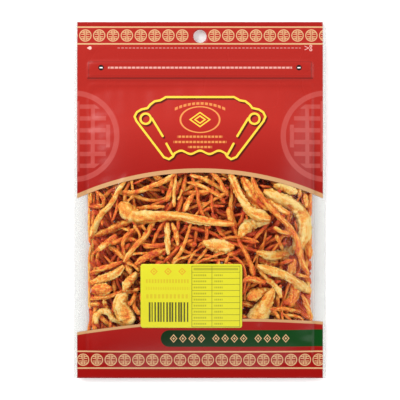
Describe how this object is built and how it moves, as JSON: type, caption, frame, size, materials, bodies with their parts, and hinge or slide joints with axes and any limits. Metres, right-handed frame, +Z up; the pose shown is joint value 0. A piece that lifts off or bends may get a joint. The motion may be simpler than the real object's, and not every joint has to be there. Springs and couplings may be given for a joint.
{
  "type": "windowed zip pouch of dried cordyceps",
  "caption": "Flat heat-sealed pouch with a hang hole, press zip and clear arched window, filled with dried orange cordyceps strands.",
  "frame": {"origin": "on the floor below the middle of the pouch, which lies on its back", "axes": "+X to the right and +Y to the header as the front is read, +Z up out of the front"},
  "size_m": [0.2, 0.283, 0.0273],
  "materials": {
    "printed_film": "glossy red print on clear film, with the window and the side welds left clear",
    "zip_plastic": "satin",
    "label_paper": "semi-gloss, ruled",
    "dried_strand_pale": "dry, wrinkled, waxy",
    "dried_strand_orange": "dry, wrinkled",
    "dried_strand_dark": "dry, in shade"
  },
  "bodies": {
    "root": {"front_film": "printed_film", "back_film": "printed_film", "zip_ridge_strip": "zip_plastic", "zip_groove_strip": "zip_plastic", "label": "label_paper", "strand_bed": "dried_strand_dark", "strand_01": "dried_strand_pale", "strand_02": "dried_strand_pale", "strand_03": "dried_strand_orange", "strand_04": "dried_strand_pale", "strand_05": "dried_strand_pale", "strand_06": "dried_strand_pale", "strand_07": "dried_strand_pale", "strand_08": "dried_strand_pale", "strand_09": "dried_strand_orange", "strand_10": "dried_strand_pale", "strand_11": "dried_strand_pale", "strand_12": "dried_strand_pale", "strand_13": "dried_strand_pale", "strand_14": "dried_strand_pale", "strand_15": "dried_strand_pale", "strand_16": "dried_strand_orange", "strand_17": "dried_strand_pale", "strand_18": "dried_strand_orange", "strand_19": "dried_strand_orange", "strand_20": "dried_strand_orange", "strand_21": "dried_strand_pale", "strand_22": "dried_strand_pale", "strand_23": "dried_strand_orange", "strand_24": "dried_strand_orange", "strand_25": "dried_strand_orange", "strand_26": "dried_strand_orange", "strand_27": "dried_strand_orange", "strand_28": "dried_strand_orange", "strand_29": "dried_strand_pale", "strand_30": "dried_strand_orange", "strand_31": "dried_strand_orange", "strand_32": "dried_strand_orange", "strand_33": "dried_strand_orange", "strand_34": "dried_strand_orange", "strand_35": "dried_strand_orange", "strand_36": "dried_strand_orange", "strand_37": "dried_strand_orange", "strand_38": "dried_strand_orange", "strand_39": "dried_strand_orange", "strand_40": "dried_strand_orange", "strand_41": "dried_strand_orange", "strand_42": "dried_strand_orange", "strand_43": "dried_strand_orange", "strand_44": "dried_strand_orange", "strand_45": "dried_strand_orange", "strand_46": "dried_strand_orange", "strand_47": "dried_strand_orange", "strand_48": "dried_strand_orange", "strand_49": "dried_strand_orange", "strand_50": "dried_strand_orange", "strand_51": "dried_strand_orange"}
  },
  "joints": []
}
